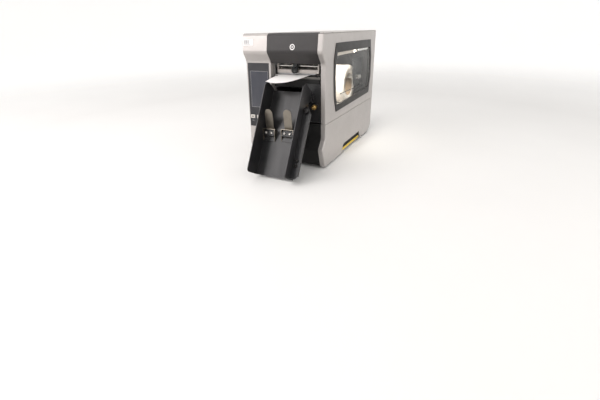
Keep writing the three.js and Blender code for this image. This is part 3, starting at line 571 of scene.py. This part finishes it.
def area_light(name, place_mm, target_mm, size, power, colour=(1, 1, 1)):
    data = bpy.data.lights.new(name, "AREA")
    data.shape = "RECTANGLE"
    data.size, data.size_y = size
    data.energy = power
    data.color = colour
    light = bpy.data.objects.new(name, data)
    light.location = at(*place_mm)
    light.rotation_mode = "QUATERNION"
    light.rotation_quaternion = (at(*target_mm) - at(*place_mm)).to_track_quat("-Z", "Y")
    bpy.context.scene.collection.objects.link(light)


def make_studio():
    scene = bpy.context.scene
    scene.view_settings.view_transform = "Standard"
    world = bpy.data.worlds.new("studio")
    scene.world = world
    world.use_nodes = True
    background = world.node_tree.nodes["Background"]
    background.inputs["Color"].default_value = (1.0, 0.985, 0.97, 1)
    background.inputs["Strength"].default_value = 0.42
    centre = (0, 150, 180)
    area_light("ceiling", (-200, -200, 2300), (0, 100, 200), (2.6, 2.0), 30, (1, 0.97, 0.95))
    area_light("front_left", (-1500, -1700, 1500), centre, (1.4, 1.4), 33, (1, 0.96, 0.96))
    area_light("bay_glow", (120, 250, 326), (74, 350, 215), (0.05, 0.16), 1.1, (1, 0.95, 0.88))
    area_light("right_window", (2100, -350, 760), (134, 280, 250), (1.3, 0.9), 9, (1, 0.97, 0.94))
    # A flat disc, a swept quarter circle and an upright wall, in metres.
    flat, sweep, rise, steps = 3.0, 2.0, 3.0, 96
    profile = [(flat * i / 4, 0) for i in range(1, 5)]
    for i in range(1, 13):
        a = math.pi / 2 * i / 12
        profile.append((flat + sweep * math.sin(a), sweep * (1 - math.cos(a))))
    profile.append((flat + sweep, sweep + rise))
    bowl = bmesh.new()
    middle = bowl.verts.new((0, 0, 0))
    rings = []
    for radius, z in profile:
        angles = [2 * math.pi * i / steps for i in range(steps)]
        rings.append([bowl.verts.new((radius * math.cos(a), radius * math.sin(a), z)) for a in angles])
    for i in range(steps):
        j = (i + 1) % steps
        bowl.faces.new((middle, rings[0][i], rings[0][j]))
        for low, high in zip(rings, rings[1:]):
            bowl.faces.new((low[i], high[i], high[j], low[j]))
    floor_mesh = bpy.data.meshes.new("floor")
    bowl.to_mesh(floor_mesh)
    bowl.free()
    floor_mesh.polygons.foreach_set("use_smooth", [True] * len(floor_mesh.polygons))
    shader = Shader("floor")
    tone = shader.noise(3, 3)
    shader.colour(shader.blend(tone, (0.74, 0.735, 0.725), (0.78, 0.775, 0.765)))
    distance = shader.add("ShaderNodeVectorMath", operation="LENGTH")
    shader.link(shader.coordinates, distance.inputs[0])
    glow = shader.remap(distance.outputs["Value"], 1.4, 3.4, 0, 0.36)
    shader.set(Roughness=0.6, Emission_Strength=glow)
    floor_mesh.materials.append(shader.material)
    floor = bpy.data.objects.new("floor", floor_mesh)
    scene.collection.objects.link(floor)


make_camera()
make_studio()

# ---- CAD nodes that show as they are ----------------------------------------------------------
SHOWN = {
    "base_pan": ("zinc", 0.5),
    "centre_wall": ("aluminium", 0.5),
    "rear_panel": ("powder", 0.5),
    "left_cover": ("silver", 0.9),
    "front_column": ("silver", 1.2),
    "control_bezel": ("overlay", 0.8),
    "touch_display": ("screen", 0.4),
    "pause_button": ("key", 0.8),
    "feed_button": ("key", 0.8),
    "cancel_button": ("key", 0.8),
    "usb_port_panel": ("dark", 0.4),
    "front_lid": ("charcoal", 0.8),
    # The lower front cover is the lid's charcoal plastic; the darker material on it is painted shade.
    "lower_front_cover": ("dark", 0.8),
    "outlet_surround": ("dark", 0.6),
    "lower_side_panel": ("silver", 0.8),
    "grip_strip": ("amber", 0.4),
    "media_door_top": ("silver", 0.9),
    "media_door_side": ("silver", 0.8),
    "window_frame": ("glossy", 0.8),
    "window_pane": ("pane", 0.0),
    "door_hinge_rod": ("steel", 0.0),
    "door_fold_rod": ("steel", 0.0),
    "media_hanger": ("steel", 0.5),
    "media_guide": ("black", 0.8),
    "dancer_arm": ("black", 0.6),
    "mechanism_frame": ("dark", 0.6),
    "tear_off_bar": ("blade", 0.3),
    "platen_shaft": ("steel", 0.3),
    "platen_roller": ("rubber", 0.3),
    "printhead_bracket": ("pale_bar", 0.6),
    "thermal_printhead": ("aluminium", 0.4),
    "pressure_bar": ("steel", 0.3),
    "pressure_toggle": ("black", 0.8),
    "printhead_lever": ("black", 0.8),
    "ribbon_supply_spindle": ("black", 0.5),
    "ribbon_takeup_spindle": ("black", 0.5),
    "stepper_motor": ("powder", 1.0),
    "motor_pulley": ("steel", 0.3),
    "drive_belt": ("rubber", 0.0),
    "power_supply": ("zinc", 0.8),
    "main_logic_board": ("board", 0.2),
    "power_inlet": ("black", 0.4),
    "power_switch": ("black", 0.6),
    "io_port_block": ("black", 0.4),
    "chute_mount": ("powder", 0.5),
    "chute_pivot_pin": ("black", 0.3),
    "chute_tray": ("powder", 0.6),
    "chute_arm": ("powder", 0.5),
    "left_stop_finger": ("finger", 0.35),
    "right_stop_finger": ("finger", 0.35),
    "chute_clamp_knob": ("black", 0.6),
    "chute_thumb_screw": ("brass", 0.3),
    "front_left_foot": ("rubber", 1.2),
    "front_right_foot": ("rubber", 1.2),
    "rear_left_foot": ("rubber", 1.2),
    "rear_right_foot": ("rubber", 1.2),
    "label_web": ("paper", 0.0),
}
OUTER_X = BODY_HALF_WIDTH - 0.1


def right_front(x, y, z):
    return x > OUTER_X and y < 20


SOFT_CORNERS = {
    "media_door_side": (right_front, 4.0),
    "lower_side_panel": (right_front, 4.0),
}
# Nodes with openings in their flat faces, which don't merge cleanly into one face.
PIERCED = ("left_cover", "front_column", "control_bezel", "main_logic_board", "chute_mount")
for node, (material, bevel_mm) in SHOWN.items():
    finish_node(node, material, bevel_mm, SOFT_CORNERS.get(node))

# ---- control face -----------------------------------------------------------------------------
PANEL_SLOPE = 15 / 226
PANEL_NORMAL = (0, -1, PANEL_SLOPE)


def on_panel(x, z, proud):
    """A point that stands so far in front of the control face."""
    return (x, -8 + (z - 90) * PANEL_SLOPE - proud, z)


def panel_patch(name, x, z, proud, thickness, material, body):
    corners = [(x[0], z[0]), (x[1], z[0]), (x[1], z[1]), (x[0], z[1])]
    outline = [on_panel(cx, cz, proud) for cx, cz in corners]
    return plate(name, outline, PANEL_NORMAL, thickness, material, body)


SCREEN_X, SCREEN_Z = (-121, -57), (181, 290)
LINE = 0.9
for name, x, z in (
    ("left", (SCREEN_X[0], SCREEN_X[0] + LINE), SCREEN_Z),
    ("right", (SCREEN_X[1] - LINE, SCREEN_X[1]), SCREEN_Z),
    ("top", SCREEN_X, (SCREEN_Z[1] - LINE, SCREEN_Z[1])),
    ("bottom", SCREEN_X, (SCREEN_Z[0], SCREEN_Z[0] + LINE)),
):
    panel_patch("display_line_" + name, x, z, 0.8, 0.08, "grey_ink", "chassis")

KEY_Z = 150
for body, x in (("pause_key", -119), ("feed_key", -95), ("cancel_key", -71)):
    if body == "pause_key":
        shapes = [[(a, -2.6), (b, -2.6), (b, 2.6), (a, 2.6)] for a, b in ((-2.6, -0.8), (0.8, 2.6))]
    elif body == "feed_key":
        shapes = [[(-2.8, -2.2), (2.8, -2.2), (0, 2.8)]]
    else:
        shapes = [[(-2.4, -2.4), (2.4, -2.4), (2.4, 2.4), (-2.4, 2.4)]]
    for i, shape in enumerate(shapes):
        outline = [on_panel(x + dx, KEY_Z + dz, 1.8) for dx, dz in shape]
        plate(f"{body}_icon_{i}", outline, PANEL_NORMAL, 0.08, "dark_ink", body)
    panel_patch(f"{body}_tick", (x - 4, x + 4), (136.5, 138), 0.6, 0.06, "grey_ink", "chassis")

# ---- marks on the nose ------------------------------------------------------------------------
NOSE_NORMAL = Vector((0, -46, 9)).normalized()


def on_nose(x, z, shift, proud):
    """A point on the nose's sloping face; shift is how far the column's face is behind the lid's."""
    return Vector((x, -5 + shift - (389 - z) * 9 / 45, z)) + NOSE_NORMAL * proud


def nose_patch(name, x, z, shift, proud, material):
    corners = [(x[0], z[0]), (x[1], z[0]), (x[1], z[1]), (x[0], z[1])]
    outline = [on_nose(cx, cz, shift, proud) for cx, cz in corners]
    return plate(name, outline, NOSE_NORMAL, 0.12, material, "chassis")


nose_patch("asset_sticker", (-129, -95), (362, 380), 3, 0.15, "white_ink_and_highlight")
for i, (x0, x1) in enumerate(((-127, -124), (-123, -121.6), (-120.6, -117), (-116, -114.8), (-113.6, -110))):
    nose_patch(f"sticker_bar_{i}", (x0, x1), (367, 377), 3, 0.24, "grey_ink")
nose_patch("sticker_line", (-127, -104), (364, 365.4), 3, 0.24, "grey_ink")
BADGE_CENTRE = on_nose(39.5, 359, 0, 0.05)
badge_ring = [(5.2, 0), (8, 0), (8, 0.2), (5.2, 0.2), (5.2, 0)]
badge = turned("plain_badge", badge_ring, BADGE_CENTRE, NOSE_NORMAL, 48)
place("plain_badge", badge, "white_ink_and_highlight", "chassis")
dot = turned("badge_dot", [(2.4, 0), (2.4, 0.2)], BADGE_CENTRE, NOSE_NORMAL, 24)
place("badge_dot", dot, "white_ink_and_highlight", "chassis")

# ---- outlet and print mechanism ---------------------------------------------------------------
box("outlet_apron", (-42, 111), (17.6, 19.6), (246, 270), "dark", "chassis", 0.4)
TEETH = 76
tooth_pitch = 151 / TEETH
saw = bmesh.new()
for i in range(TEETH):
    x = -40 + i * tooth_pitch
    tip = (x + tooth_pitch / 2, 17.9, 276.3)
    corners = [(x, 20, 276.5), (x + tooth_pitch, 20, 276.5), tip]
    face = saw.faces.new([saw.verts.new(at(*p)) for p in corners])
    moved = bmesh.ops.extrude_face_region(saw, geom=[face])
    verts = [v for v in moved["geom"] if isinstance(v, bmesh.types.BMVert)]
    bmesh.ops.translate(saw, verts=verts, vec=(0, 0, -0.9 * MM))
place("tear_teeth", mesh_from(saw, "tear_teeth"), "steel", "chassis", smooth=False)
for i, x in enumerate((-28, 4, 60, 92)):
    screw(f"head_screw_{i}", (x, 48, 297.2), (0, 0, 1), 3.2, 2, "steel", "printhead")
for i, x in enumerate((-12, 76)):
    coil = [(4.2, 0.0)]
    for turn in range(7):
        coil += [(5.0, 1.2 + turn * 1.5), (4.0, 1.95 + turn * 1.5)]
    spring = turned(f"head_spring_{i}", coil, (x, 60, 298), (0, 0, 1), 20)
    place(f"head_spring_{i}", spring, "steel", "printhead")
rim = [(9.2, 0), (9.2, 1.6), (7.6, 2.4), (7.6, 1.4), (0.2, 1.0)]
grip = turned("toggle_rim", rim, (28, 18.4, 294), (0, -1, 0), 36)
place("toggle_rim", grip, "black", "toggle")

# ---- chute ------------------------------------------------------------------------------------
OUT = Vector((0, -math.cos(CHUTE_TILT), math.sin(CHUTE_TILT)))
DOWN = Vector((0, -math.sin(CHUTE_TILT), -math.cos(CHUTE_TILT)))


def in_chute(x, out, down):
    return Vector((x, 1.5, 237)) + OUT * out + DOWN * down


def chute_box(name, x, out, down, material, rounding=0.3):
    corners = [(x[0], down[0]), (x[1], down[0]), (x[1], down[1]), (x[0], down[1])]
    outline = [in_chute(cx, out[0], cd) for cx, cd in corners]
    return plate(name, outline, OUT, out[1] - out[0], material, "chute", rounding)


for side, x, root in (("left", -15, 125.5), ("right", 47.5, 122.5)):
    block_x, block_down = (x - 18, x + 18), (root + 2, root + 20)
    # A black block sits in each stop's bracket; its black also stands in for the shade inside the bracket.
    chute_box(f"{side}_stop_block", block_x, (2.1, 12.5), block_down, "black", 0.8)
    pad_x, pad_down = (x - 18.8, x + 18.8), (root + 20.3, root + 34)
    chute_box(f"{side}_stop_pad", pad_x, (2.0, 2.5), pad_down, "powder", 0)
    for i, dx in enumerate((-9.2, 9.2)):
        head = in_chute(x + dx, 12.5, root + 11.5)
        screw(f"{side}_stop_screw_{i}", head, OUT, 3.6, 2.6, "steel", "chute")
        washer = turned(f"{side}_stop_washer_{i}", [(4.8, 0), (4.8, 0.5)], head, OUT, 28)
        place(f"{side}_stop_washer_{i}", washer, "black", "chute")
for i, (x, down) in enumerate(((101.5, 209), (100.5, 225.5))):
    screw(f"arm_screw_{i}", in_chute(x, 22, down), OUT, 5.6, 5.5, "glossy", "chute")
screw("wall_screw", in_chute(91.8, 6, 50), (1, 0, 0), 5.2, 4.5, "glossy", "chute")
dome = [(6.7, 0), (6.7, 4), (5.6, 5.6), (3, 6.3), (0.2, 6.5)]
cap = turned("clamp_cap", dome, in_chute(100.5, 25, 65.5), OUT, 32)
place("clamp_cap", cap, "glossy", "clamp_knob")
collar_ring = [(8.4, 0), (8.4, 3.4), (5.6, 4.2), (5.6, 0), (8.4, 0)]
collar = turned("thumb_collar", collar_ring, (101.5, 13.2, 194.5), (0, -1, 0), 32)
place("thumb_collar", collar, "black", "chassis")
thumb_face = [(5.6, 0), (5.6, 0.5), (4.2, 1.2), (1.6, 1.2), (1.4, 0.4), (0.2, 0.4)]
face = turned("thumb_face", thumb_face, (101.5, -4.9, 194.5), (0, -1, 0), 28)
place("thumb_face", face, "brass", "thumb_screw")

# ---- window and media bay ---------------------------------------------------------------------
def side_patch(name, outline, x, thickness, material, body):
    """A thin plate that faces sideways, from its (y, z) outline."""
    corners = [(x, y, z) for y, z in outline]
    return plate(name, corners, (1, 0, 0), thickness, material, body)


# Cream and white strips along the top edge of the window are a painted highlight, the window's upper edge
# catching light.
for name, outline, highlight_tone in (
    ("window_edge_highlight", [(100, 329), (296, 330), (296, 338), (99, 338)], "cream_highlight"),
    ("window_edge_highlight_end", [(304, 331), (418, 331), (420, 336.5), (304, 337.5)], "white_ink_and_highlight"),
):
    side_patch(name, outline, 129.2, 0.3, highlight_tone, "door_side")
# A near-black plate inside the side notch paints the shade of the recess.
box("notch_painted_shade", (128.3, 128.8), (156, 368), (18.4, 42), "painted_shade", "chassis", 0)
rod = turned("guide_rod", [(1.6, 0), (1.6, 266)], (100, 218, 198.5), (0, 1, -0.012), 12)
place("guide_rod", rod, "black", "chassis")
ROLL_STEPS = 96
EASE = 0.3  # chamfer on the rolls' edges
LABEL_CORE_T, RIBBON_CORE_T = 1.9, 2.5
for node, axis_y, axis_z, inner, outer, material, body, slot in (
    ("label_roll", 374, 208, 40.6, 69.9, "roll", "media_roll", "paper"),
    ("ribbon_supply_roll", 214, 322, 15, 33.9, "film", "ribbon_supply", "ribbon"),
    ("ribbon_takeup_roll", 130, 342, 15, 19.9, "film", "ribbon_takeup", "ribbon"),
):
    node_low, node_high = local_box(node)
    low, width = node_low.x, node_high.x - node_low.x
    layers = [(inner, 0), (outer - EASE, 0), (outer, EASE), (outer, width - EASE)]
    layers += [(outer - EASE, width), (inner, width), (inner, 0)]
    start = (low, axis_y, axis_z)
    wound = turned(node, layers, start, (1, 0, 0), ROLL_STEPS)
    roll = place(node + "_layers", wound, material, body, pivot=start)
    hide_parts(node)
    bore = inner - (LABEL_CORE_T if node == "label_roll" else RIBBON_CORE_T)
    rim_r, near, far = inner - 0.05, 0.2, width - 0.2
    sleeve = [(bore, near), (rim_r, near), (rim_r, far), (bore, far), (bore, near)]
    core = turned(node + "_core", sleeve, start, (1, 0, 0), 72)
    place(node + "_core", core, "card", body, pivot=start)

# ---- rear, sides and the inside ---------------------------------------------------------------
REAR_FACE = 490
for name, x in (("right", 127.6), ("left", -130.6)):
    corner = [(436, 8.5), (468, 8.5), (484, 11), (494, 24), (498, 44), (498, 62), (436, 62)]
    side_patch(f"{name}_corner_liner", corner, x, 3, "dark", "chassis")
REAR_SCREWS = ((-122, 24), (-122, 205), (-114, 380), (0, 384), (118, 380), (118, 205), (118, 24), (20, 24))
for i, (x, z) in enumerate(REAR_SCREWS):
    screw(f"rear_screw_{i}", (x, REAR_FACE, z), (0, 1, 0), 4, 2.2, "steel", "chassis")
# The vent slots are thin near-black patches on the flat rear face; their black is painted shade for the
# slots' depth.
for i in range(9):
    y, z = (REAR_FACE, REAR_FACE + 0.25), (236 + i * 12, 240.5 + i * 12)
    box(f"rear_slot_{i}", (-30, 90), y, z, "painted_shade", "chassis", 0)
PLATE_FACE = REAR_FACE + 0.3
box("rating_plate", (20, 104), (REAR_FACE, PLATE_FACE), (150, 200), "grey_ink", "chassis", 0)
for i, (x0, x1, z) in enumerate(((26, 70, 190), (26, 92, 182), (26, 60, 174), (26, 84, 166))):
    y = (PLATE_FACE, REAR_FACE + 0.42)
    box(f"rating_line_{i}", (x0, x1), y, (z, z + 2), "dark_ink", "chassis", 0)
shell = [(-105.4, 482.6, 106.7), (-78.6, 482.6, 106.7), (-80.6, 482.6, 114.3), (-103.4, 482.6, 114.3)]
plate("serial_shell", shell, (0, 1, 0), 5.5, "steel", "chassis", 0.8)
box("serial_insert", (-102, -82), (484, 488.8), (108.6, 112.4), "dark_ink", "chassis")
box("network_tongue", (-104, -94), (483, 487), (129, 131.5), "brass", "chassis", 0)
box("usb_tongue", (-80, -74), (483, 489), (133.4, 135.6), "white_ink_and_highlight", "chassis", 0)
for z in (70, 84):
    x, y, z1 = on_panel(-88, z, -3.6)
    name, tall = f"front_usb_tongue_{z}", (z1 - 0.8, z1 + 0.8)
    box(name, (x - 6, x + 6), (y, y + 1.6), tall, "white_ink_and_highlight", "chassis", 0)
for i, (y, z) in enumerate(((60, 24), (250, 24), (466, 100), (466, 380), (60, 380))):
    screw(f"left_screw_{i}", (-133.9, y, z), (-1, 0, 0), 3.6, 0.9, "steel", "chassis")
for i, (y, z) in enumerate(((60, 60), (60, 230), (300, 60), (470, 60), (470, 330), (300, 370), (80, 370))):
    screw(f"wall_screw_{i}", (-43.9, y, z), (1, 0, 0), 3.6, 2, "steel", "chassis")
guide_card = [(256, 316), (340, 316), (340, 372), (256, 372)]
side_patch("threading_card", guide_card, -43.9, 0.25, "white_ink_and_highlight", "chassis")
for i, (y, z, r) in enumerate(((322, 336, 9), (282, 352, 6), (272, 332, 3.5))):
    outline = [(r - 1, 0), (r, 0), (r, 0.1), (r - 1, 0.1), (r - 1, 0)]
    ring = turned(f"card_ring_{i}", outline, (-43.6, y, z), (1, 0, 0), 28)
    place(f"card_ring_{i}", ring, "grey_ink", "chassis")
for i, (dy, dz) in enumerate(((-23.5, -23.5), (23.5, -23.5), (23.5, 23.5), (-23.5, 23.5))):
    screw(f"motor_screw_{i}", (-98, 118 + dy, 196 + dz), (-1, 0, 0), 2.6, 1.8, "steel", "chassis")
